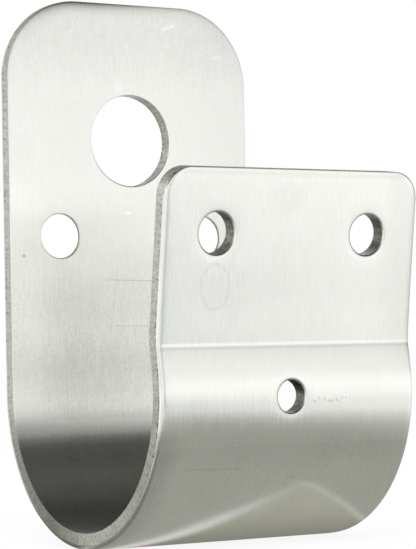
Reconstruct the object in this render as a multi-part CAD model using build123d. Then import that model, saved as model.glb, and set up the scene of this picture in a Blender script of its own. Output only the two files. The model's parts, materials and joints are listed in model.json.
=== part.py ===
from build123d import *
import os
from math import radians, tan

# A pipe bracket folded from one piece of stainless sheet. The frame's origin is on the pipe's axis at half the
# bracket's width: +X along the pipe, +Y to the tall back plate, +Z up. Lengths are in mm, angles in degrees.

# Sheet
width = 52.0
thickness = 3.0

# Wrap, a little more than a half round, that seats the pipe
pipe_diameter = 48.3
closing_angle = 7.0

# Back plate, flat and upright, from the level of the pipe's axis to its top
plate_height = 72.4
plate_corner_radius = 14.7

# Front flange: a short straight neck, an outward bend, then a flat that leans away from the back plate
neck_length = 5.1
outward_bend_radius = 6.65
flange_lean = 7.7
flange_length = 27.6
flange_corner_radius = 5.0

# Bolt holes: two countersunk behind the back plate, and two in the flange that face them
bolt_spacing = 31.0
plate_bolt_height = 28.6
plate_bolt_diameter = 8.2
countersink_angle = 90.0
countersink_land = 0.6
flange_bolt_drop = 11.0
flange_bolt_diameter = 7.1

# Large hole high on the back plate, and small hole low on the front of the wrap
hanging_hole_height = 46.7
hanging_hole_diameter = 17.2
side_hole_angle = 2.1
side_hole_diameter = 5.6

# Rounding that punching leaves on the outer face, round the outline and round the holes
outline_roll = 0.85
hole_roll = 0.35

seat_radius = pipe_diameter / 2
outer_radius = seat_radius + thickness
touching = 1e-4


def sheet_path(depth):
    """The sheet's section at a depth inside its outer face, as (y, z), from the plate's top to the flange's."""
    plate_y = outer_radius - depth
    plate = Line((plate_y, plate_height), (plate_y, 0))
    wrap = JernArc(plate @ 1, plate % 1, plate_y, -(180 + closing_angle))
    neck = Line(wrap @ 1, wrap @ 1 + neck_length * (wrap % 1))
    bend = JernArc(neck @ 1, neck % 1, outward_bend_radius + depth, closing_angle + flange_lean)
    flange = Line(bend @ 1, bend @ 1 + flange_length * (bend % 1))
    return [plate, wrap, neck, bend, flange]


def in_frame(section_point):
    """A point or direction of the section, given as (y, z), at half the bracket's width."""
    return Vector(0, section_point.X, section_point.Y)


# The flange's outer face: its top, its direction upwards and its outward normal
flange_top = in_frame(sheet_path(0)[-1] @ 1)
flange_up = in_frame(sheet_path(0)[-1] % 1)
flange_out = Vector(1, 0, 0).cross(flange_up)


def folded_sheet():
    """The folded strip, with rounded free corners and a rolled outer edge, before its holes are made."""
    outer = sheet_path(0)
    inner = sheet_path(thickness)
    ends = [Line(inner[0] @ 0, outer[0] @ 0), Line(inner[-1] @ 1, outer[-1] @ 1)]
    sheet = extrude(Plane.YZ * make_face(outer + inner + ends), width / 2, both=True)
    sheet = fillet(sheet.edges().filter_by(Axis.Y), plate_corner_radius)
    sheet = fillet(sheet.edges().filter_by(Axis((0, 0, 0), flange_out)), flange_corner_radius)
    middles = [in_frame(span @ 0.5) for span in outer]
    skin = [face for face in sheet.faces() if any(face.distance_to(middle) < touching for middle in middles)]
    skin_edges = [edge for face in skin for edge in face.edges()]
    outline = [edge for edge in skin_edges if skin_edges.count(edge) == 1]
    return fillet(outline, outline_roll)


def punch(sheet, mouth, diameter):
    """Make a round hole through the sheet at a plane on its outer face, with a rolled rim."""
    sheet -= mouth * Cylinder(diameter / 2, 4 * thickness)
    curved_edges = sheet.edges().filter_by(GeomType.LINE, reverse=True)
    return fillet(curved_edges.sort_by_distance(mouth.origin)[0], hole_roll)


def countersink(sheet, mouth, diameter):
    """Make a hole that opens to a cone at the outer face, and keeps a short land at the inner face."""
    cone_depth = thickness - countersink_land
    spread = cone_depth * tan(radians(countersink_angle / 2))
    narrow = diameter / 2
    sheet -= mouth * Cylinder(narrow, 4 * thickness)
    return sheet - mouth * Pos(0, 0, -cone_depth / 2) * Cone(narrow, narrow + spread, cone_depth)


def plate_mouth(x, height):
    """A plane on the back plate's outer face, at a height above the pipe's axis."""
    return Plane((x, outer_radius, height), x_dir=(1, 0, 0), z_dir=(0, 1, 0))


def flange_mouth(x, drop):
    """A plane on the flange's outer face, at a distance below its top edge."""
    return Plane(flange_top - drop * flange_up + Vector(x, 0, 0), x_dir=(1, 0, 0), z_dir=flange_out)


def wrap_mouth(angle):
    """A plane on the front of the wrap, at an angle below the level of the pipe's axis."""
    outward = Vector(0, -1, 0).rotate(Axis.X, angle)
    return Plane(outer_radius * outward, x_dir=(1, 0, 0), z_dir=outward)


def wrap_bracket():
    """The whole bracket."""
    bracket = folded_sheet()
    bracket = punch(bracket, plate_mouth(0, hanging_hole_height), hanging_hole_diameter)
    bracket = punch(bracket, wrap_mouth(side_hole_angle), side_hole_diameter)
    for x in (-bolt_spacing / 2, bolt_spacing / 2):
        bracket = countersink(bracket, plate_mouth(x, plate_bolt_height), plate_bolt_diameter)
        bracket = punch(bracket, flange_mouth(x, flange_bolt_drop), flange_bolt_diameter)
    return bracket


os.makedirs("parts", exist_ok=True)
export_step(wrap_bracket(), "parts/wrap_bracket.step")
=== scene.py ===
import json
from bisect import bisect
from math import asin, atan, ceil, cos, exp, hypot, pi, radians, sin, tan

import bpy
from mathutils import Matrix, Vector, geometry


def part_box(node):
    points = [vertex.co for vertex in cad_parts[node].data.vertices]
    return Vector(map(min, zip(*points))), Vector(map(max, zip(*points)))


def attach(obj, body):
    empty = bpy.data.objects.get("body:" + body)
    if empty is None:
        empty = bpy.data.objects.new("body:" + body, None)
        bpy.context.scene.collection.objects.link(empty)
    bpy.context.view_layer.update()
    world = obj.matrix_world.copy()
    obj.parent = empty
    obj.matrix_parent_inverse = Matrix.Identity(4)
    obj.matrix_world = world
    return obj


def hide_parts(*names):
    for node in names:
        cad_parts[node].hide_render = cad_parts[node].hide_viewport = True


# The bracket is one folded sheet. A spot on it is given by strip coordinates in metres: across the width,
# along the outer face from the back plate's top to the flange's top, and depth inside the outer face.
# The frame is the part's own: +X along the pipe, +Y to the back plate, +Z up.

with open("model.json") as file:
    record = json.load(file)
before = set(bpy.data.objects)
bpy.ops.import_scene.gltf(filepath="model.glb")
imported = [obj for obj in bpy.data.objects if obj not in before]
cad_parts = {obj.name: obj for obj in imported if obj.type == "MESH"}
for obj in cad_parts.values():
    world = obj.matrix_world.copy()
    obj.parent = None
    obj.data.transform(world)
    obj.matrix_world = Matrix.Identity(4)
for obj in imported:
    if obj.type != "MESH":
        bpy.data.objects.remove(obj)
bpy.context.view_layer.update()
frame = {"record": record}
mm = 0.001

# Sizes that the frame gives
mounts = {mount["name"]: mount for mount in frame["record"]["mounts"]}
low_corner, high_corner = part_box("wrap_bracket")
half_width = high_corner.x
plate_height = high_corner.z
outer_radius = high_corner.y
thickness = outer_radius - mounts["pipe_seat"]["dims"]["r_mm"] * mm

# Sizes of the fold that the frame doesn't give
closing_angle = radians(7.0)
neck_length = 5.1 * mm
bend_radius = 6.65 * mm
flange_lean = radians(7.7)
flange_length = 27.6 * mm
plate_corner = 14.7 * mm
flange_corner = 5.0 * mm
countersink_land = 0.6 * mm
countersink_half_angle = radians(45)

# Rounding that punching left on the outer face: how far it reaches over the face, and how deep it goes
outline_roll = (0.36 * mm, 0.70 * mm)
hole_roll = (0.40 * mm, 0.28 * mm)
inner_hole_roll = (0.25 * mm, 0.12 * mm)
roll_steps = 10

# The faces bow down to their edges: slope at the edge, how fast it fades, and its reach. In turn: the outer
# face at the outline and at holes, a fine burr inside, and the inner face at the plate's top.
outer_bow = (0.34, 0.62 * mm, 3.3 * mm)
hole_bow = (0.12, 0.8 * mm, 3.0 * mm)
burr = (0.35, 0.16 * mm, 3.3 * mm)
top_bow = (0.30, 1.15 * mm, 3.3 * mm)
bow_steps = 14

# How much of the outline's roll and outer bow is left along the flange's top. Round the flange's corners the
# roll goes with this power of a sine.
flange_top_roll = 0.08
flange_top_bow = 0.58
corner_roll_power = 0.4

# The bow at the plate's top is fainter to the right: two places across the width, and how much is left there.
# The burr there is fainter all over.
top_bow_fades = (-13.0 * mm, 10.0 * mm, 0.4)
plate_top_burr = 0.35

# A hole's rim gets no painted shade round this heading: the unshaded share is a cosine times this gain, up to
# 1
unshaded_rim_heading = (radians(-15), 1.3)

# The press left a sharper crease than an even bend: places from the bend's start, and the outer face's lean
# there. The height that this adds is taken back over a longer stretch.
crease_leans = [
    (-1.40 * mm, closing_angle),
    (-0.90 * mm, radians(8.9)),
    (0.19 * mm, -flange_lean),
    (1.75 * mm, -flange_lean),
]
crease_stretch = (-4.0 * mm, 8.0 * mm)
crease_spots = 600

# Mesh spacing: over the width, along the flats, round the folds and at the crease
across_step = 2.0 * mm
flat_step = 2.0 * mm
fold_step = 0.8 * mm
crease_step = 0.12 * mm
corner_segments = 24
hole_segments = 64
top_columns = 12
wall_steps = 4

# Least distance of the mesh's free points from its rings, and how far the inner face's pattern is moved aside
free_gap = 0.35 * across_step
pattern_shift = 3 * half_width


def smooth_step(share):
    return share * share * (3 - 2 * share)


def add_object(name, data):
    made = bpy.data.objects.new(name, data)
    bpy.context.scene.collection.objects.link(made)
    return made


class Fold:
    """The path of the sheet's outer face in the YZ plane."""

    def __init__(self):
        wrap_turn = pi + closing_angle
        bend_turn = closing_angle + flange_lean
        # Each span: length on the outer face, turn in all (positive round the pipe), and mesh spacing
        self.spans = [
            (plate_height, 0.0, flat_step),
            (outer_radius * wrap_turn, wrap_turn, fold_step),
            (neck_length, 0.0, flat_step),
            (bend_radius * bend_turn, -bend_turn, crease_step),
            (flange_length, 0.0, flat_step),
        ]
        self.length = sum(span[0] for span in self.spans)
        self.starts = []
        point, heading, start = Vector((outer_radius, plate_height)), -pi / 2, 0.0
        for length, turn, _ in self.spans:
            self.starts.append((start, point, heading))
            point, heading = self.walk(point, heading, length, turn, length)
            start += length
        self.bend_start = self.starts[3][0]
        self.crease = self.crease_table()

    @staticmethod
    def walk(point, heading, length, turn, distance):
        """The point and heading after a distance along a straight or an arc that turns clockwise."""
        if turn == 0.0:
            return point + distance * Vector((cos(heading), sin(heading))), heading
        angle = -turn * distance / length
        radius = length / turn
        centre = point + radius * Vector((sin(heading), -cos(heading)))
        return centre + Matrix.Rotation(angle, 2) @ (point - centre), heading + angle

    def at(self, along):
        """The (y, z) of the outer face, its direction along the strip and its outward normal."""
        number = max(n for n, start in enumerate(self.starts) if n == 0 or along >= start[0] - 1e-9)
        start, point, heading = self.starts[number]
        length, turn, _ = self.spans[number]
        point, heading = self.walk(point, heading, length, turn, along - start)
        return point, Vector((0, cos(heading), sin(heading))), Vector((0, -sin(heading), cos(heading)))

    def crease_lean(self, shift):
        """How much the creased face leans up more than the plain fold, from the bend's start."""
        if not crease_leans[0][0] < shift < crease_leans[-1][0]:
            return 0.0
        n = bisect([spot[0] for spot in crease_leans], shift)
        (low, lean_low), (high, lean_high) = crease_leans[n - 1], crease_leans[n]
        wanted = lean_low + (lean_high - lean_low) * smooth_step((shift - low) / (high - low))
        return wanted - asin(self.at(self.bend_start + shift)[2].z)

    def crease_table(self):
        """The crease's lean and height at even places of its stretch."""
        first, last = crease_stretch
        step = (last - first) / crease_spots
        leans = [self.crease_lean(first + step * n) for n in range(crease_spots + 1)]
        heights = [0.0]
        for before, after in zip(leans, leans[1:]):
            heights.append(heights[-1] - (before + after) / 2 * step)
        rest = heights[-1]
        table = []
        for n, (lean, height) in enumerate(zip(leans, heights)):
            share = n / crease_spots
            back = rest * 6 * share * (1 - share) / (last - first)
            table.append((lean + back, height - rest * smooth_step(share)))
        return table

    def press_mark(self, along):
        """The lean and height of the crease at a place."""
        first, last = crease_stretch
        share = (along - self.bend_start - first) / (last - first)
        if not 0 < share < 1:
            return 0.0, 0.0
        low = int(share * crease_spots)
        part = share * crease_spots - low
        (lean_low, height_low), (lean_high, height_high) = self.crease[low], self.crease[low + 1]
        return lean_low + (lean_high - lean_low) * part, height_low + (height_high - height_low) * part

    def place(self, across, along, depth):
        """A spot of the sheet in the frame."""
        point, _, out = self.at(along)
        _, height = self.press_mark(along)
        return Vector((across, point.x, point.y)) - (depth - height * (1 - depth / thickness)) * out

    def normal(self, along, depth):
        """The sheet's outward normal at a depth. The crease fades out to the inner face."""
        _, direction, out = self.at(along)
        lean = self.press_mark(along)[0] * (1 - depth / thickness)
        return cos(lean) * out + sin(lean) * direction

    def stations(self):
        """Places along the strip where the mesh has a row of points."""
        rows = []
        for (start, _, _), (length, _, step) in zip(self.starts, self.spans):
            count = max(1, ceil(length / step))
            rows += [start + length * n / count for n in range(count)]
        before = -crease_leans[0][0]
        count = ceil(before / crease_step)
        rows += [self.bend_start - before * (n + 0.5) / count for n in range(count)]
        return sorted(rows) + [self.length]


fold = Fold()


def rolled(reach, deep):
    """A quarter ellipse from the outer face down to a wall, as (inset, depth, tilt)."""
    steps = [pi / 2 * n / roll_steps for n in range(roll_steps + 1)]
    turned = []
    for step in steps:
        across, down = sin(step) / reach, cos(step) / deep
        tilt = pi / 2 if step == steps[-1] else asin(across / hypot(across, down))
        turned.append((reach * (1 - sin(step)), deep * (1 - cos(step)), tilt))
    return turned


def rolled_inside(reach, deep):
    """The same from a wall up to the inner face."""
    return [(inset, thickness - depth, pi - tilt) for inset, depth, tilt in reversed(rolled(reach, deep))]


def wall(start, end, steps):
    return [(0.0, start + (end - start) * n / steps, pi / 2) for n in range(steps + 1)]


def bow_insets(reach):
    return [reach * (1 - n / bow_steps) ** 2 for n in range(bow_steps + 1)]


def bowed(inset, edge_slope, fade, reach):
    """How far a bowed face has sunk at an inset, and its slope there."""
    here, rest = exp(-inset / fade), exp(-reach / fade)
    return edge_slope * (fade * (here - rest) - rest * (reach - inset)), edge_slope * (here - rest)


def rolled_and_bowed(roll, bow):
    """A bow that ends in a roll, from the outer face down to a wall."""
    rows = []
    for inset in bow_insets(bow[2]):
        if inset > roll[0]:
            sunk, slope = bowed(inset, *bow)
            rows.append((inset, sunk, atan(slope)))
    for inset, depth, tilt in rolled(*roll):
        sunk, slope = bowed(inset, *bow)
        rows.append((inset, depth + sunk, tilt if inset == 0 else atan(tan(tilt) + slope)))
    return rows


def bowed_inside(*bows):
    """Bows of one reach that end at a wall, from the wall up to the inner face."""
    rows = []
    for inset in reversed(bow_insets(bows[0][2])):
        sunk, slope = (sum(parts) for parts in zip(*(bowed(inset, *bow) for bow in bows)))
        rows.append((inset, thickness - sunk, pi - atan(slope)))
    return rows


def roll_at(inset, reach, deep):
    """The depth and slope of a roll at an inset."""
    share = max(0.0, 1 - inset / reach)
    rest = (1 - share * share) ** 0.5
    return deep * (1 - rest), deep / reach * share / rest if rest > 0 else 0.0


outline_outside = rolled_and_bowed(outline_roll, outer_bow)
outline_inside = bowed_inside(burr, top_bow)
outline_wall = (outline_outside[-1][1], outline_inside[0][1])


class Outline:
    """The strip's outline, counter-clockwise, with rounded corners."""

    def __init__(self):
        first, last = plate_corner, fold.length - flange_corner
        rows = [first] + [row for row in fold.stations() if first < row < last] + [last]
        top = half_width - plate_corner
        columns = [top * (2 * n / top_columns - 1) for n in range(1, top_columns)]
        bottom = half_width - flange_corner
        # Each point: the centre it is inset towards, its radius about that centre, and its direction from it
        self.points = [((top, row), plate_corner, 0.0) for row in rows[:-1]]
        self.points += self.corner((bottom, last), flange_corner, 0.0)
        flange_columns = [column * bottom / top for column in reversed(columns)]
        self.points += [((column, last), flange_corner, pi / 2) for column in flange_columns]
        self.points += self.corner((-bottom, last), flange_corner, pi / 2)
        self.points += [((-top, row), plate_corner, pi) for row in reversed(rows[1:-1])]
        self.points += self.corner((-top, first), plate_corner, pi)
        self.points += [((column, first), plate_corner, -pi / 2) for column in columns]
        self.points += self.corner((top, first), plate_corner, -pi / 2)[:-1]
        self.laterals = [self.lateral(centre, angle) for centre, _, angle in self.points]
        self.rim_shares = [1.0] * len(self.points)
        # What each point lacks of the full roll, outer bow, top bow and burr
        self.lacks = []
        for (across, _), _, angle in self.points:
            flange_top, plate_top = max(0.0, sin(angle)), max(0.0, -sin(angle)) ** 2
            self.lacks.append((
                (1 - flange_top_roll) * flange_top ** corner_roll_power,
                (1 - flange_top_bow) * flange_top ** 2,
                1 - plate_top * self.top_share(across),
                (1 - plate_top_burr) * plate_top,
            ))

    @staticmethod
    def top_share(across):
        start, end, left = top_bow_fades
        return 1 - (1 - left) * smooth_step(min(1.0, max(0.0, (across - start) / (end - start))))

    @staticmethod
    def corner(centre, radius, angle):
        steps = range(corner_segments + 1)
        return [(centre, radius, angle + pi / 2 * n / corner_segments) for n in steps]

    @staticmethod
    def lateral(centre, angle):
        _, direction, _ = fold.at(centre[1])
        return cos(angle) * Vector((1, 0, 0)) + sin(angle) * direction

    def lack(self, number, inset):
        """The depth and slope that a point lacks at an inset, on the outer and on the inner side."""
        roll_lack, bow_lack, top_lack, burr_lack = self.lacks[number]
        outer_pairs = zip(roll_at(inset, *outline_roll), bowed(inset, *outer_bow))
        inner_pairs = zip(bowed(inset, *top_bow), bowed(inset, *burr))
        outer = [roll_lack * roll + bow_lack * bow for roll, bow in outer_pairs]
        return outer, [top_lack * top + burr_lack * edge for top, edge in inner_pairs]

    def ring(self, inset, depth):
        """Spots at an inset and at a depth of the full profile."""
        start, end = outline_wall
        inner_part = min(1.0, max(0.0, (depth - start) / (end - start)))
        spots = []
        for number, (centre, radius, angle) in enumerate(self.points):
            outer, inner = self.lack(number, inset)
            own_depth = depth - (1 - inner_part) * outer[0] + inner_part * inner[0]
            reach = radius - inset
            spots.append((centre[0] + reach * cos(angle), centre[1] + reach * sin(angle), own_depth))
        return spots

    def own_tilt(self, number, inset, tilt):
        """A point's own tilt where the full profile has a given one."""
        outer, inner = self.lack(number, inset)
        if tilt < pi / 2:
            return atan(tan(tilt) - outer[1])
        return pi - atan(tan(pi - tilt) - inner[1]) if tilt > pi / 2 else tilt

    def clear(self, across, along, inset, gap):
        """Whether a spot is inside the outline by an inset and a gap."""
        first, last = plate_corner, fold.length - flange_corner
        radius, near = (plate_corner, first) if along < first else (flange_corner, last)
        over_side = abs(across) - (half_width - radius)
        over_end = near - along if along < first else along - near
        if over_end > 0 and over_side > 0:
            return hypot(over_side, over_end) < radius - inset - gap
        return over_side < radius - inset - gap and over_end < radius - inset - gap


class Hole:
    """A round hole, clockwise, square to the sheet at its centre."""

    def __init__(self, name):
        mount = mounts[name]
        self.radius = mount["dims"]["r_mm"] * mm
        self.across = mount["pos_m"][0]
        self.along = self.nearest(Vector(mount["pos_m"]))
        self.round_pipe = fold.starts[1][0] < self.along < fold.starts[2][0]
        _, self.direction, _ = fold.at(self.along)
        self.angles = [-2 * pi * n / hole_segments for n in range(hole_segments)]
        self.laterals = [
            -cos(angle) * Vector((1, 0, 0)) - sin(angle) * self.direction for angle in self.angles
        ]
        # How much painted shade each point of the hole's rim gets, as a share under 0
        heading, gain = unshaded_rim_heading
        self.rim_shares = [min(1.0, gain * max(0.0, cos(angle - heading))) - 1 for angle in self.angles]

    @staticmethod
    def nearest(position):
        """Where along the strip a point inside the sheet lies."""
        def offset(along):
            point, direction, _ = fold.at(along)
            return position - Vector((position.x, point.x, point.y)), direction

        close = [row for row in fold.stations() if offset(row)[0].length < thickness + flat_step]
        low, high = min(close) - flat_step, max(close) + flat_step
        while high - low > 1e-8:
            middle = (low + high) / 2
            away, direction = offset(middle)
            low, high = (middle, high) if away.dot(direction) > 0 else (low, middle)
        return (low + high) / 2

    def reach(self, distance, depth):
        """How far along the strip a distance in the hole's own plane goes, at a depth in the sheet."""
        return outer_radius * asin(distance / (outer_radius - depth)) if self.round_pipe else distance

    def ring(self, inset, depth):
        radius = self.radius + inset
        return [
            (self.across + radius * cos(angle), self.along + self.reach(radius * sin(angle), depth), depth)
            for angle in self.angles
        ]

    @staticmethod
    def own_tilt(number, inset, tilt):
        return tilt

    def clear(self, across, along, inset, gap):
        """Whether a spot is outside the hole by an inset and a gap."""
        return hypot(across - self.across, along - self.along) > self.radius + inset + gap


face_kind, cut_kind, hole_kind, small_hole_kind = range(4)


class SheetMesh:
    """The closed mesh of the folded sheet, with a normal for each corner of each face. A vertex's rim is the
    sine of its face's tilt, over 0 by the outline and under 0 by a hole's rim where it gets painted shade."""

    def __init__(self):
        self.spots, self.rims, self.rings = [], [], {}
        self.faces, self.kinds, self.normals, self.pattern = [], [], [], []

    def add(self, spots):
        first = len(self.spots)
        self.spots += spots
        self.rims += [0.0] * len(spots)
        return list(range(first, len(self.spots)))

    def ring(self, loop, inset, depth):
        """The vertices of a loop at an inset and a depth. They are made once."""
        key = (loop, round(inset / mm, 5), round(depth / mm, 5))
        if key not in self.rings:
            self.rings[key] = self.add(loop.ring(inset, depth))
        return self.rings[key]

    def corner(self, vertex, normal, pattern_spot):
        self.normals.append(normal.normalized())
        self.pattern.append(pattern_spot)
        return vertex

    def sweep(self, loop, profile, kind):
        """Faces round a loop that follow a profile of (inset, depth, tilt off the outer face's normal)."""
        for (inset_a, depth_a, tilt_a), (inset_b, depth_b, tilt_b) in zip(profile, profile[1:]):
            ring_a = self.ring(loop, inset_a, depth_a)
            ring_b = self.ring(loop, inset_b, depth_b)
            count = len(ring_a)
            for here in range(count):
                after = (here + 1) % count
                face = []
                for ring, number, inset, tilt in (
                    (ring_a, here, inset_a, tilt_a),
                    (ring_b, here, inset_b, tilt_b),
                    (ring_b, after, inset_b, tilt_b),
                    (ring_a, after, inset_a, tilt_a),
                ):
                    across, along, depth = self.spots[ring[number]]
                    lateral = loop.laterals[number]
                    tilt = loop.own_tilt(number, inset, tilt)
                    normal = cos(tilt) * fold.normal(along, depth) + sin(tilt) * lateral
                    run = lateral.dot(fold.at(along)[1])
                    if kind == face_kind:
                        self.rims[ring[number]] = loop.rim_shares[number] * sin(tilt)
                    unfolded = (across + depth * lateral.x, along + depth * run)
                    face.append(self.corner(ring[number], normal, unfolded))
                self.faces.append(face)
                self.kinds.append(kind)

    def fill(self, loops, depth, side, kind):
        """Triangles between the rings of loops, each given as (loop, inset), on the outer or inner face."""
        vertices, edges = [], []
        for loop, inset in loops:
            ring = self.ring(loop, inset, depth)
            first, count = len(vertices), len(ring)
            vertices += ring
            edges += [(first + n, first + (n + 1) % count) for n in range(count)]
        columns = ceil(2 * half_width / across_step)
        for along in fold.stations():
            row = [(half_width * (2 * n / columns - 1), along, depth) for n in range(1, columns)]
            vertices += self.add([
                spot for spot in row if all(loop.clear(*spot[:2], inset, free_gap) for loop, inset in loops)
            ])
        flat = [Vector(self.spots[vertex][:2]) for vertex in vertices]
        made = geometry.delaunay_2d_cdt(flat, edges, [], 0, 1e-9)
        assert len(made[0]) == len(flat), "the triangulation added or merged points"
        for triangle in made[2]:
            middle = sum((made[0][n] for n in triangle), Vector((0, 0))) / 3
            if not all(loop.clear(middle.x, middle.y, inset, 0) for loop, inset in loops[1:]):
                continue
            face = []
            for n in triangle if side > 0 else reversed(triangle):
                across, along, _ = self.spots[vertices[n]]
                aside = across if side > 0 else across + pattern_shift
                face.append(self.corner(vertices[n], side * fold.normal(along, depth), (aside, along)))
            self.faces.append(face)
            self.kinds.append(kind)

    def build(self, name, materials):
        mesh = bpy.data.meshes.new(name)
        mesh.from_pydata([fold.place(*spot) for spot in self.spots], [], self.faces)
        mesh.polygons.foreach_set("use_smooth", [True] * len(self.faces))
        mesh.polygons.foreach_set("material_index", self.kinds)
        strip = mesh.attributes.new("strip", "FLOAT_VECTOR", "POINT")
        strip.data.foreach_set("vector", [value / mm for spot in self.spots for value in spot])
        mesh.attributes.new("rim", "FLOAT", "POINT").data.foreach_set("value", self.rims)
        pattern = mesh.uv_layers.new(name="pattern")
        pattern.data.foreach_set("uv", [value / fold.length for spot in self.pattern for value in spot])
        for material in materials:
            mesh.materials.append(material)
        mesh.update()
        mesh.normals_split_custom_set(self.normals)
        return add_object(name, mesh)


rounded_holes = ["hanging_hole", "side_hole", "flange_bolt_left", "flange_bolt_right"]
sunk_holes = ["plate_bolt_left", "plate_bolt_right"]


def bracket_mesh():
    made = SheetMesh()
    outline = Outline()
    made.sweep(outline, outline_outside, face_kind)
    made.sweep(outline, wall(*outline_wall, wall_steps), cut_kind)
    made.sweep(outline, outline_inside, face_kind)
    outer_loops, inner_loops = [(outline, outer_bow[2])], [(outline, top_bow[2])]
    wall_end = thickness - inner_hole_roll[1]
    cone_depth = thickness - countersink_land
    spread, cone_tilt = cone_depth * tan(countersink_half_angle), pi / 2 - countersink_half_angle
    shares = [n / wall_steps for n in range(wall_steps + 1)]
    cone = [(spread * (1 - share), cone_depth * share, cone_tilt) for share in shares]
    rounded = rolled_and_bowed(hole_roll, hole_bow)
    for name in rounded_holes + sunk_holes:
        hole, sunk = Hole(name), name in sunk_holes
        outside, steps = (cone, 1) if sunk else (rounded, wall_steps)
        wall_kind = hole_kind if name == "hanging_hole" else small_hole_kind
        made.sweep(hole, outside, hole_kind if sunk else face_kind)
        made.sweep(hole, wall(outside[-1][1], wall_end, steps), wall_kind)
        made.sweep(hole, rolled_inside(*inner_hole_roll), face_kind)
        outer_loops.append((hole, outside[0][0]))
        inner_loops.append((hole, inner_hole_roll[0]))
    made.fill(outer_loops, 0.0, 1, face_kind)
    made.fill(inner_loops, thickness, -1, face_kind)
    return made


# Materials


def empty_tree(block):
    """The node tree of a new material or world, without nodes."""
    block.use_nodes = True
    block.node_tree.nodes.clear()
    return block.node_tree


def node(tree, kind, inputs=(), **settings):
    """A node with its settings and inputs. An input is a socket, which is linked, or a plain value."""
    made = tree.nodes.new("ShaderNode" + kind)
    for name, value in settings.items():
        setattr(made, name, value)
    for key, value in dict(inputs).items():
        if isinstance(value, bpy.types.NodeSocket):
            tree.links.new(value, made.inputs[key])
        else:
            made.inputs[key].default_value = value
    return made


def math(tree, operation, *values):
    return node(tree, "Math", dict(enumerate(values)), operation=operation).outputs[0]


def vector(tree, operation, *values):
    made = node(tree, "VectorMath", dict(enumerate(values)), operation=operation).outputs
    return made["Value" if operation in ("DOT_PRODUCT", "LENGTH") else "Vector"]


def ramp(tree, value, low, high, to_low=0.0, to_high=1.0):
    """A smooth step of a value between two limits. With the first limit over the second it falls."""
    inputs = {"Value": value, "From Min": low, "From Max": high, "To Min": to_low, "To Max": to_high}
    return node(tree, "MapRange", inputs, interpolation_type="SMOOTHSTEP").outputs[0]


def blend(tree, factor, low, high, way="MIX"):
    """A mix of two colours."""
    made = node(tree, "Mix", data_type="RGBA", blend_type=way)
    for key, value in (("Factor_Float", factor), ("A_Color", low), ("B_Color", high)):
        socket = next(entry for entry in made.inputs if entry.identifier == key)
        if isinstance(value, bpy.types.NodeSocket):
            tree.links.new(value, socket)
        elif key == "Factor_Float":
            socket.default_value = value
        else:
            socket.default_value = (*value, 1.0)
    return next(entry for entry in made.outputs if entry.identifier == "Result_Color")


# Depths in millimetres where the outer face's look gives way to the inner face's
sheet_middle = (1.4, 1.6)

# Shares of a stroke's length, from its middle, where it fades and ends, and of an oval's radii, where it
# fades. A ripple moves an oval's edge by its share, and at its even level not at all.
full_stroke, whole_stroke = 0.35, 0.5
full_oval = 0.3
ripple_share = 0.5
even = 0.5


def grey(tree, level):
    """A colour with one level in its three parts."""
    return node(tree, "CombineColor", {0: level, 1: level, 2: level}).outputs[0]


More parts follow.
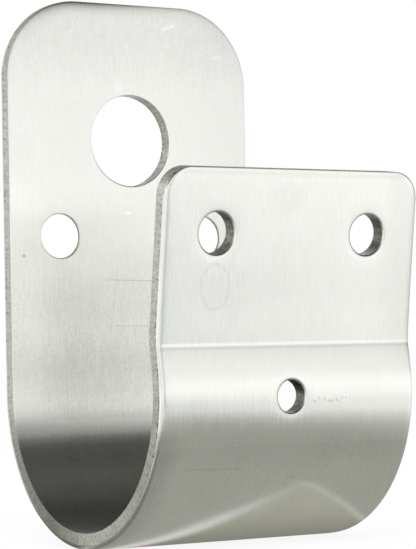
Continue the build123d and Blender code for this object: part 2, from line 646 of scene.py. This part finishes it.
class Finish:
    """A material with detail placed by strip coordinates in millimetres. Its values can be given by name."""

    def __init__(self, name, noises):
        self.material = bpy.data.materials.new(name)
        self.tree = empty_tree(self.material)
        self.strip = node(self.tree, "Attribute", attribute_name="strip").outputs["Vector"]
        signed_rim = node(self.tree, "Attribute", attribute_name="rim").outputs["Fac"]
        parts = node(self.tree, "SeparateXYZ", {0: self.strip}).outputs
        self.values = {"across": parts[0], "along": parts[1], "depth": parts[2], "even": even, "both": 1.0}
        self.values["inner"] = self.ramp("depth", *sheet_middle)
        self.values["outer"] = self.math("SUBTRACT", 1.0, "inner")
        self.values["rim"] = self.math("ABSOLUTE", signed_rim)
        self.values["hole_rim"] = self.math("MULTIPLY", signed_rim, -1.0)
        for key, noise in noises.items():
            self.values[key] = self.noise(*noise)

    def given(self, value):
        return self.values[value] if isinstance(value, str) else value

    def math(self, operation, *values):
        return math(self.tree, operation, *map(self.given, values))

    def ramp(self, value, *limits):
        return ramp(self.tree, self.given(value), *limits)

    def total(self, *terms):
        """The sum of (share, value) terms."""
        added = 0.0
        for share, value in terms:
            added = self.math("MULTIPLY_ADD", value, share, added)
        return added

    def product(self, *values):
        made = self.given(values[0])
        for value in values[1:]:
            made = self.math("MULTIPLY", made, value)
        return made

    def noise(self, size, seed, detail, roughness=0.5):
        """Noise of about a size over, along and into the strip, from 0 to 1."""
        scale = [1 / part for part in size]
        scaled = vector(self.tree, "MULTIPLY", self.strip, scale)
        inputs = {"Vector": scaled, "W": seed, "Scale": 1.0, "Detail": detail, "Roughness": roughness}
        return node(self.tree, "TexNoise", inputs, noise_dimensions="4D").outputs[0]

    def bumped(self, name, height):
        inputs = {"Height": self.given(name), "Strength": 1.0, "Distance": height}
        return node(self.tree, "Bump", inputs).outputs[0]

    def near(self, value, centre, inside, outside):
        """1 within a distance of a centre, falling to 0 at a larger distance."""
        away = self.math("ABSOLUTE", self.math("SUBTRACT", value, centre))
        return self.ramp(away, outside, inside)

    def band(self, side, *limits):
        """A part of a side. Each limit is a value's name, and where the part starts and is full."""
        return self.product(side, *(self.ramp(*limit) for limit in limits))

    def stroke(self, side, start, end, width):
        """A straight mark between two spots on a side of the sheet, with soft ends."""
        (across_a, along_a), (across_b, along_b) = start, end
        length = hypot(across_b - across_a, along_b - along_a)
        run = ((across_b - across_a) / length, (along_b - along_a) / length)
        over = self.math("SUBTRACT", "across", (across_a + across_b) / 2)
        down = self.math("SUBTRACT", "along", (along_a + along_b) / 2)
        forth = self.total((run[0], over), (run[1], down))
        forth = self.near(forth, 0.0, full_stroke * length, whole_stroke * length)
        aside = self.near(self.total((-run[1], over), (run[0], down)), 0.0, 0.0, width)
        return self.product(side, forth, aside)

    def from_centre(self, centre, radii, ripple):
        """Distance from a centre as a share of an oval's radii, with a ripple."""
        over = self.math("DIVIDE", self.math("SUBTRACT", "across", centre[0]), radii[0])
        down = self.math("DIVIDE", self.math("SUBTRACT", "along", centre[1]), radii[1])
        away = self.math("SQRT", self.math("MULTIPLY_ADD", over, over, self.product(down, down)))
        return self.total((1.0, away), (ripple_share, ripple), (-ripple_share * even, 1.0))

    def drop(self, side, centre, radii, width):
        """The thin outline of a dried drop."""
        return self.product(side, self.near(self.from_centre(centre, radii, "speckle"), 1.0, 0.0, width))

    def oval(self, side, centre, radii, ripple, *limits):
        """A soft oval, with limits like a band's."""
        oval = self.ramp(self.from_centre(centre, radii, ripple), 1.0, full_oval)
        return self.product(self.band(side, *limits), oval)

    def marks(self, tables):
        """The sum of marks, painted light and painted shade of several kinds. Each starts with its share."""
        return self.total(*[
            (share, getattr(self, kind)(*mark)) for kind, table in tables.items() for share, *mark in table
        ])

    def finish(self, base, level, roughness, normal, **settings):
        """Metal with a colour that is made lighter or darker by a level."""
        base = blend(self.tree, 1.0, base, grey(self.tree, level), "MULTIPLY")
        inputs = {"Base Color": base, "Roughness": roughness, "Metallic": 1.0, "Normal": normal, **settings}
        shader = node(self.tree, "BsdfPrincipled", inputs)
        node(self.tree, "OutputMaterial", {"Surface": shader.outputs[0]})
        return self.material


# Marks, painted light and painted shade on the faces: how much darker or lighter the metal is, the side, and
# then a stroke's ends and width, a drop's centre, radii and ring width as their share, an oval's centre,
# radii and ripple, or a band's limits
dark_marks_and_painted_shade = {
    # Three die lines, two scratches and the press's edge
    "stroke": [
        (0.22, "inner", (-6.5, 51.89), (15.0, 52.36), 0.18),
        (0.15, "inner", (-6.6, 60.50), (15.0, 60.76), 0.18),
        (0.04, "inner", (-26.0, 74.54), (26.0, 74.54), 0.22),
        (0.04, "inner", (-8.96, 10.86), (-3.21, 15.88), 0.12),
        (0.05, "inner", (-18.75, 37.75), (-16.78, 38.52), 0.14),
        (0.10, "outer", (-21.16, 144.48), (-6.94, 144.08), 0.30),
    ],
    "drop": [
        (0.08, "outer", (-15.35, 175.47), (2.8, 3.8), 0.10),
        (0.07, "outer", (9.18, 146.51), (1.35, 2.5), 0.14),
        (0.07, "outer", (1.93, 141.0), (0.7, 1.0), 0.22),
        (0.06, "outer", (-4.24, 132.3), (1.0, 2.2), 0.2),
        (0.06, "outer", (-13.98, 139.85), (1.2, 1.2), 0.16),
    ],
    # A dent, its shade painted as a dark spot, three smudges and two places with speckles
    "oval": [
        (0.45, "inner", (-23.25, 47.49), (0.45, 0.45), "even"),
        (0.05, "inner", (-13.3, 64.33), (0.9, 1.4), "speckle"),
        (0.08, "inner", (-19.53, 70.24), (0.7, 0.35), "speckle"),
        (0.035, "outer", (-2.0, 190.4), (5.4, 3.6), "cloud"),
        (0.14, "inner", (-15.5, 86.0), (2.0, 4.5), "speckle", ("speckle", 0.45, 0.6)),
        (0.06, "outer", (-10.25, 176.8), (1.6, 2.2), "even", ("speckle", 0.5, 0.6)),
    ],
    # Inside: the plate's top, painted shade on the plate's foot, the wrap's start, and painted shade in the
    # wrap's
    # bottom. Outside: the wiped strip low on the wrap, the flange's top, painted shade on its right side and
    # edge and on the wrap's lower left edge and rim, and pits by the side hole. Last, painted shade on all
    # rolled edges, which dims their highlights, and on the holes' rims.
    "band": [
        (0.08, "inner", ("along", 18.0, 5.0)),
        # Painted shade on the plate's foot
        (0.10, "inner", ("along", 44.0, 56.0), ("along", 92.0, 82.0), ("across", -24.0, -11.0)),
        (0.10, "inner", ("along", 77.5, 82.5), ("along", 91.5, 86.5)),
        # Painted shade in the wrap's bottom
        (0.54, "inner", ("along", 91.0, 102.0), ("along", 127.0, 116.0)),
        (0.05, "outer", ("along", 142.4, 147.4), ("along", 148.6, 148.2)),
        (0.16, "outer", ("along", 193.7, 195.2)),
        # Painted shade on the flange's right side and edge
        (0.07, "outer", ("along", 158.0, 170.0), ("across", 17.0, 24.0)),
        (0.38, "outer", ("along", 158.0, 170.0), ("across", 24.3, 26.2)),
        # Painted shade on the wrap's lower left edge and rim
        (0.17, "outer", ("along", 152.5, 149.5), ("across", -20.5, -25.8)),
        (0.20, "outer", ("along", 152.5, 149.5), ("across", -20.5, -25.8), ("rim", 0.45, 0.80)),
        (0.22, "outer", ("along", 155.2, 155.7), ("along", 156.6, 156.1), ("across", 3.7, 5.2),
         ("across", 12.7, 11.2), ("speckle", 0.53, 0.60)),
        # Painted shade on the rolled edges and the holes' rims, which dims their highlights
        (0.06, "both", ("rim", 0.10, 0.35)),
        (0.28, "outer", ("hole_rim", 0.03, 0.10)),
    ],
}
light_marks_and_painted_light = {
    # Scuffs
    "stroke": [
        (0.20, "inner", (7.22, 4.37), (10.37, 3.30), 0.45),
        (0.16, "inner", (-0.45, 7.33), (-0.35, 9.78), 0.16),
        (0.16, "inner", (18.43, 9.13), (20.99, 8.71), 0.16),
        (0.14, "inner", (-23.47, 24.47), (-22.09, 23.17), 0.30),
    ],
    "oval": [
        (0.18, "inner", (-2.56, 15.84), (0.9, 0.40), "speckle"),
        (0.20, "inner", (-0.87, 39.36), (0.8, 0.50), "speckle"),
    ],
    # Painted light on the plate's upper half and on its foot to the left, and two lines at the wrap's start
    "band": [
        (0.014, "inner", ("along", 50.0, 36.0)),
        (0.056, "inner", ("along", 50.0, 36.0), ("across", 24.0, 8.0)),
        (0.14, "inner", ("along", 30.0, 44.0), ("along", 86.0, 76.0), ("across", -13.0, -26.0)),
        (0.10, "inner", ("along", 72.5, 75.5), ("along", 81.5, 78.5)),
        (0.24, "inner", ("along", 77.6, 79.6), ("along", 82.8, 80.8)),
    ],
}

# Where sandy grit shows more: the plate's foot and top inside, and low on the wrap outside. How much shows
# there, and everywhere.
gritty_places = {"band": [
    (1.0, "inner", ("along", 38.0, 60.0)),
    (0.6, "inner", ("along", 24.0, 8.0)),
    (1.0, "outer", ("along", 152.0, 140.0)),
]}
more_grit, plain_grit = 0.44, 0.11

# Noises of the brushed metal: size over, along and into the strip, seed and detail
brushed_noises = {
    "fine": ((0.20, 3.5, 5.0), 1.0, 2.0),
    "streak": ((0.5, 8.0, 5.0), 2.0, 3.0),
    "broad": ((5.0, 40.0, 20.0), 3.0, 2.0),
    "cloud": ((8.0, 9.0, 20.0), 4.0, 3.0),
    "speckle": ((0.5, 0.7, 5.0), 8.0, 2.0),
    "sand": ((0.3, 0.4, 5.0), 11.0, 1.0),
}

# Levels of mixed noises, and the colours and roughnesses for them
brushed_levels, brushed_colours = (0.38, 0.62), ((0.825, 0.829, 0.79), (0.875, 0.879, 0.84))
rough_levels, roughnesses = (0.3, 0.7), (0.23, 0.262)

# How much smoother the outer face is low on the wrap and at its rims, and how much rougher the inner face is
smoother, smooth_places, smooth_rims = 0.4, (150.0, 138.0), (0.02, 0.14)
rougher = 0.22

# The brush's strokes: their height and their lean along the strip. The back plate's inner face leans too.
stroke_height = 0.003 * mm
stroke_lean = 0.03
plate_lean = radians(1.05)
leaning_plate = ("inner", ("along", 80.0, 62.0))


def brushed_normal(finish, tangent):
    tree = finish.tree
    bumped = finish.bumped("fine", stroke_height)
    down = vector(tree, "CROSS_PRODUCT", bumped, tangent)
    strokes = finish.total((1.0, "fine"), (1.0, "streak"), (-1.0, 1.0))
    lean = finish.total((stroke_lean, strokes), (plate_lean, finish.band(*leaning_plate)))
    leaning = node(tree, "VectorMath", {0: down, "Scale": lean}, operation="SCALE").outputs[0]
    return vector(tree, "NORMALIZE", vector(tree, "ADD", bumped, leaning))


def brushed_face():
    """Brushed metal, which mirrors wide across the strip and sharp along it."""
    finish = Finish("brushed_stainless", brushed_noises)
    tone = finish.total((0.26, "fine"), (0.20, "streak"), (0.10, "broad"), (0.44, "cloud"))
    base = blend(finish.tree, finish.ramp(tone, *brushed_levels), *brushed_colours)
    grains = finish.total((0.6, "sand"), (0.4, "fine"), (-even, 1.0))
    more = finish.marks(gritty_places)
    grit = finish.product(grains, finish.total((more_grit, more), (plain_grit, 1.0)))
    light, dark = finish.marks(light_marks_and_painted_light), finish.marks(dark_marks_and_painted_shade)
    level = finish.total((1.0, 1.0), (1.0, light), (-1.0, dark), (1.0, grit))
    rough = finish.ramp(finish.total((0.5, "streak"), (0.5, "cloud")), *rough_levels, *roughnesses)
    smooth = finish.math("MAXIMUM", finish.ramp("along", *smooth_places), finish.ramp("rim", *smooth_rims))
    smooth = finish.product("outer", smooth)
    rough = finish.product(rough, finish.total((1.0, 1.0), (-smoother, smooth), (rougher, "inner")))
    tangent = node(finish.tree, "Tangent", direction_type="UV_MAP", uv_map="pattern").outputs[0]
    normal = brushed_normal(finish, tangent)
    return finish.finish(base, level, rough, normal, Anisotropic=1.0, Tangent=tangent)


# Torn walls: streaks' size over and into the sheet in grains, levels for the two colours, grains' height, and
# where the painted shade at the plate's top goes over to the rest
streak_over, streak_into = 1.4, 8
torn_levels = (0.36, 0.64)
torn_height = 0.05 * mm
top_shade_places = (5.0, 25.0)

# Their pits: size, levels where a pit starts and is full, how dark it is, how much sooner it starts near the
# outer face, and a change back under the pipe
pit_size = (0.5, 0.6, 0.45)
pit_levels = (0.67, 0.73)
pit_dark = 0.60
pit_rise, pit_depths = 0.12, (1.9, 1.0)
*fewer_pits_place, fewer_pits = (112.0, 20.0, 34.0, 0.45)

# Painted shade and light on the cut edge round the wrap, and painted light on the small holes' lower rims,
# which face up: a place along the strip, the distances from it where the change is full and ends, and the
# change
edge_painted_shading = [(94.0, 8.0, 19.0, -0.38), (121.0, 4.0, 12.0, 0.24), (147.0, 7.0, 13.0, -0.14)]
hole_painted_light = [(154.1, 0.3, 1.5, 1.1), (181.1, 0.3, 1.5, 1.1)]


def torn_wall(name, low, high, seed, grain, roughness, top_share=1.0, painted_shading=()):
    """The wall that a punch leaves, streaked through the sheet and pitted, in two colours, with painted shade
    at the plate's top and painted shade and light at places along the strip.
    """
    finish = Finish(name, {
        "grains": ((grain, grain, grain), seed, 4.0, 0.6),
        "shear": ((streak_over * grain, streak_over * grain, streak_into * grain), seed + 1, 3.0),
        "torn": (pit_size, seed + 2, 1.0),
    })
    tone = finish.ramp(finish.total((0.6, "grains"), (0.4, "shear")), *torn_levels)
    torn = finish.total((1.0, "torn"), (pit_rise, finish.ramp("depth", *pit_depths)))
    pits = finish.ramp(torn, *pit_levels)
    fewer = finish.product(pits, finish.near("along", *fewer_pits_place))
    # At the plate's top the level goes down to top_share: painted shade
    terms = [(1.0, finish.ramp("along", *top_shade_places, top_share, 1.0)), (-pit_dark, pits), (fewer_pits, fewer)]
    terms += [(change, finish.near("along", *place)) for *place, change in painted_shading]
    normal = finish.bumped("grains", torn_height)
    return finish.finish(blend(finish.tree, tone, low, high), finish.total(*terms), roughness, normal)


bracket = bracket_mesh().build("brushed_bracket", [
    brushed_face(),
    # The cut edge gets painted shade at the plate's top and painted shade and light round the wrap
    torn_wall("punched_edge", (0.35, 0.353, 0.318), (0.60, 0.604, 0.555), seed=5.0, grain=0.35,
              roughness=0.5, top_share=0.76, painted_shading=edge_painted_shading),
    # The holes' walls have darker colours than the cut edge, the small holes' darkest: painted shade inside
    # the holes
    torn_wall("shaded_punched_hole", (0.23, 0.222, 0.195), (0.44, 0.432, 0.397), seed=7.0, grain=0.5,
              roughness=0.42),
    torn_wall("shaded_punched_small_hole", (0.13, 0.127, 0.109), (0.27, 0.263, 0.237), seed=9.0, grain=0.5,
              roughness=0.42, painted_shading=hole_painted_light),
])
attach(bracket, "root")
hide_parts("wrap_bracket")

# Stage: a pale floor that the bracket stands on, and a soft studio round it. The camera sees both white. What
# the metal mirrors is brightest at the horizon and dark overhead, with dim sides. The mirrored floor has a
# painted shadow near the bracket, where a board under it has its corner in front.

floor_radius = 4.0
floor_segments = 96
near_floor_shadow = (0.372, 0.381, 0.343)
board_floor = (0.43, 0.428, 0.37)
board_edge_light = (0.72, 0.725, 0.70)
board_shade = (0.60, 0.60, 0.58)
open_floor = (1.13, 1.132, 1.117)
far_floor = (1.38, 1.382, 1.367)
low_wall = (1.44, 1.442, 1.427)
high_wall = (1.36, 1.362, 1.347)
low_rear_wall = (1.06, 1.062, 1.05)
high_rear_wall = (1.55, 1.552, 1.537)
dark_ceiling = (0.075, 0.077, 0.067)
rear_floor_share = (0.93, 0.93, 0.93)
white = (1.0, 1.0, 1.0)

# Dim sides: heading in degrees from straight ahead, the cosines with it where dimming starts and is full, and
# its colour. In turn: a gap ahead, the right and the left.
dim_sides = [
    (11.5, 0.972, 0.993, (0.45, 0.475, 0.48)),
    (88, 0.76, 0.95, (0.50, 0.505, 0.50)),
    (-60, 0.5, 0.8, (0.80, 0.80, 0.80)),
]

# The board: its corner, its edges' directions and softness, and where its painted shade starts and is full
board_corner = (14.0 * mm, -25.0 * mm)
board_left_edge = (0.852, -0.524)
board_right_edge = (0.682, 0.731)
board_softness = (-0.4 * mm, 0.4 * mm)
board_shade_places = (-18.0 * mm, -3.0 * mm)

# Painted light on its edges, where the left one changes between places across, and both start at the other
# edge
left_width_places, left_widths = (-12.0 * mm, 12.0 * mm), (3.0 * mm, 0.8 * mm)
left_level_places, left_levels = (-10.0 * mm, 10.0 * mm), (1.0, 0.55)
right_width, right_level = 1.5 * mm, 0.32
edge_starts = (-0.8 * mm, 0.4 * mm)

# Distances where the near floor's painted shadow goes over to the open floor, and that to the far floor
near_reach = (54 * mm, 146 * mm)
open_reach = (130 * mm, 500 * mm)

# Where the front goes over to the rear, by how far a direction points back, and low walls to high ones and to
# the ceiling, by how far it points up. The ceiling is higher at the rear and lower to the right.
rear_turn = (-0.3, 0.5)
front_rise = (0.06, 0.14)
rear_rise = (0.18, 0.31)
ceiling_rise = {"From Min": 0.205, "From Max": 0.60}
rear_lift = 0.23
right_drop, right_side = 0.22, (98, 0.4, 0.85)

# Light on matt things, the lit floor's mottle, and how much of the floor the camera sees as plain white
soft_light = 0.8
mottle_noise, mottle_tones = {"Scale": 6.0, "Detail": 3.0}, {"To Min": 0.90, "To Max": 0.94}
seen_white = 0.9


def towards(tree, way, heading, low, high):
    """A smooth step of a direction's cosine with a level heading, in degrees from straight ahead."""
    ahead = (sin(radians(heading)), -cos(radians(heading)), 0.0)
    return ramp(tree, vector(tree, "DOT_PRODUCT", way, ahead), low, high)


def with_dim_sides(tree, colour, way):
    """A colour of the surroundings, dimmed by the heading."""
    way = vector(tree, "NORMALIZE", vector(tree, "MULTIPLY", way, (1, 1, 0)))
    for *side, dim in dim_sides:
        part = blend(tree, towards(tree, way, *side), white, dim)
        colour = blend(tree, 1.0, colour, part, "MULTIPLY")
    return colour


def left_of(tree, parts, edge):
    """How far a floor spot lies to the left of a line through the board's corner."""
    over = math(tree, "SUBTRACT", parts[0], board_corner[0])
    up = math(tree, "SUBTRACT", parts[1], board_corner[1])
    return math(tree, "MULTIPLY_ADD", up, edge[0], math(tree, "MULTIPLY", over, -edge[1]))


def lit_edge(tree, own, other, width, level):
    """Painted light along one of the board's edges, from the distances to it and to the other edge."""
    away = math(tree, "DIVIDE", math(tree, "ABSOLUTE", own), width)
    lit = math(tree, "MULTIPLY", ramp(tree, away, 1.0, 0.0), level)
    return math(tree, "MULTIPLY", lit, ramp(tree, other, *edge_starts))


def mirrored_floor(tree, place):
    """The floor as the metal mirrors it, with a painted shadow near the bracket and painted light along the
    board's edges.
    """
    parts = node(tree, "SeparateXYZ", {0: place}).outputs
    left, right = left_of(tree, parts, board_left_edge), left_of(tree, parts, board_right_edge)
    on_board = ramp(tree, math(tree, "MINIMUM", left, right), *board_softness)
    shade = blend(tree, ramp(tree, parts[1], *board_shade_places), white, board_shade)
    board = blend(tree, 1.0, shade, board_floor, "MULTIPLY")
    near = blend(tree, on_board, near_floor_shadow, board)
    left_width = ramp(tree, parts[0], *left_width_places, *left_widths)
    left_level = ramp(tree, parts[0], *left_level_places, *left_levels)
    lit_left = lit_edge(tree, left, right, left_width, left_level)
    lit_right = lit_edge(tree, right, left, right_width, right_level)
    near = blend(tree, math(tree, "MAXIMUM", lit_left, lit_right), near, board_edge_light)
    distance = vector(tree, "LENGTH", place)
    around = blend(tree, ramp(tree, distance, *open_reach), open_floor, far_floor)
    way = vector(tree, "NORMALIZE", place)
    rear = ramp(tree, node(tree, "SeparateXYZ", {0: way}).outputs[1], *rear_turn)
    around = blend(tree, 1.0, around, blend(tree, rear, white, rear_floor_share), "MULTIPLY")
    return blend(tree, ramp(tree, distance, *near_reach), near, with_dim_sides(tree, around, way))


def glow(tree, kind, colour, strength=1.0):
    colour = colour if isinstance(colour, bpy.types.NodeSocket) else (*colour, 1)
    return node(tree, kind, {"Color": colour, "Strength": strength}).outputs[0]


def ray_kinds(tree):
    """Whether a ray is the camera's own, and whether it was mirrored or refracted."""
    path = node(tree, "LightPath").outputs
    return path["Is Camera Ray"], math(tree, "MAXIMUM", path["Is Glossy Ray"], path["Is Transmission Ray"])


def floor_material():
    material = bpy.data.materials.new("studio_floor")
    tree = empty_tree(material)
    place = node(tree, "TexCoord").outputs["Object"]
    mottle = node(tree, "TexNoise", {"Vector": place, **mottle_noise}).outputs[0]
    tone = node(tree, "MapRange", {"Value": mottle, **mottle_tones}).outputs[0]
    matt = node(tree, "BsdfDiffuse", {"Color": grey(tree, tone)}).outputs[0]
    bright = glow(tree, "Emission", white)
    mirrored = glow(tree, "Emission", mirrored_floor(tree, place))
    camera_ray, mirrored_ray = ray_kinds(tree)
    seen = math(tree, "MULTIPLY", camera_ray, seen_white)
    surface = node(tree, "MixShader", {0: seen, 1: matt, 2: bright}).outputs[0]
    surface = node(tree, "MixShader", {0: mirrored_ray, 1: surface, 2: mirrored}).outputs[0]
    node(tree, "OutputMaterial", {"Surface": surface})
    return material


floor_mesh = bpy.data.meshes.new("floor")
turns = [2 * pi * n / floor_segments for n in range(floor_segments)]
rim = [(floor_radius * cos(turn), floor_radius * sin(turn), 0) for turn in turns]
floor_mesh.from_pydata(rim, [], [range(floor_segments)])
floor_mesh.materials.append(floor_material())
floor = add_object("floor", floor_mesh)
floor.location.z = low_corner.z


def studio_world():
    world = bpy.data.worlds.new("studio")
    bpy.context.scene.world = world
    tree = empty_tree(world)
    seen = glow(tree, "Background", white)
    soft = glow(tree, "Background", white, soft_light)
    way = node(tree, "TexCoord").outputs["Generated"]
    parts = node(tree, "SeparateXYZ", {0: way}).outputs
    rear = ramp(tree, parts[1], *rear_turn)
    front_wall = blend(tree, ramp(tree, parts[2], *front_rise), low_wall, high_wall)
    rear_wall = blend(tree, ramp(tree, parts[2], *rear_rise), low_rear_wall, high_rear_wall)
    walls = with_dim_sides(tree, blend(tree, rear, front_wall, rear_wall), way)
    raised = math(tree, "MULTIPLY_ADD", rear, -rear_lift, parts[2])
    raised = math(tree, "MULTIPLY_ADD", towards(tree, way, *right_side), right_drop, raised)
    overhead = node(tree, "MapRange", {"Value": raised, **ceiling_rise}).outputs[0]
    mirrored = glow(tree, "Background", blend(tree, overhead, walls, dark_ceiling))
    camera_ray, mirrored_ray = ray_kinds(tree)
    surface = node(tree, "MixShader", {0: mirrored_ray, 1: soft, 2: mirrored}).outputs[0]
    surface = node(tree, "MixShader", {0: camera_ray, 1: surface, 2: seen}).outputs[0]
    node(tree, "OutputWorld", {"Surface": surface})


studio_world()

# The one lamp, which nothing mirrors
light_place = Vector((-0.6, -0.7, 1.0))
light_aim = Vector((0, 0, 0.02))
light = bpy.data.lights.new("key_light", "AREA")
light.shape = "SQUARE"
light.size = 0.8
light.energy = 11.0
key_light = add_object("key_light", light)
key_light.location = light_place
key_light.rotation_euler = (light_aim - light_place).to_track_quat("-Z", "Y").to_euler()
key_light.visible_glossy = False

# Camera, from a fit of the part's edges to the photograph's, with the lens length in pixels

camera_place = Vector((-232.108, -357.897, 8.451)) * mm
camera_pan, camera_tilt, camera_roll = radians(33.0856), radians(1.6358), radians(-1.1266)
lens_pixels = 2376.18
picture_height = 549
sensor = 36.0
clip_range = (0.01, 20.0)


def camera():
    aside, ahead = sin(camera_pan), cos(camera_pan)
    forward = Vector((aside * cos(camera_tilt), ahead * cos(camera_tilt), sin(camera_tilt)))
    level = Vector((ahead, -aside, 0))
    upright = level.cross(forward)
    right = cos(camera_roll) * level + sin(camera_roll) * upright
    up = cos(camera_roll) * upright - sin(camera_roll) * level
    data = bpy.data.cameras.new("camera")
    data.sensor_fit = "AUTO"
    data.sensor_width = sensor
    data.lens = lens_pixels * sensor / picture_height
    data.clip_start, data.clip_end = clip_range
    made = add_object("camera", data)
    made.matrix_world = Matrix.Translation(camera_place) @ Matrix((right, up, -forward)).transposed().to_4x4()
    return made


bpy.context.scene.camera = camera()
bpy.context.scene.view_settings.view_transform = "Standard"
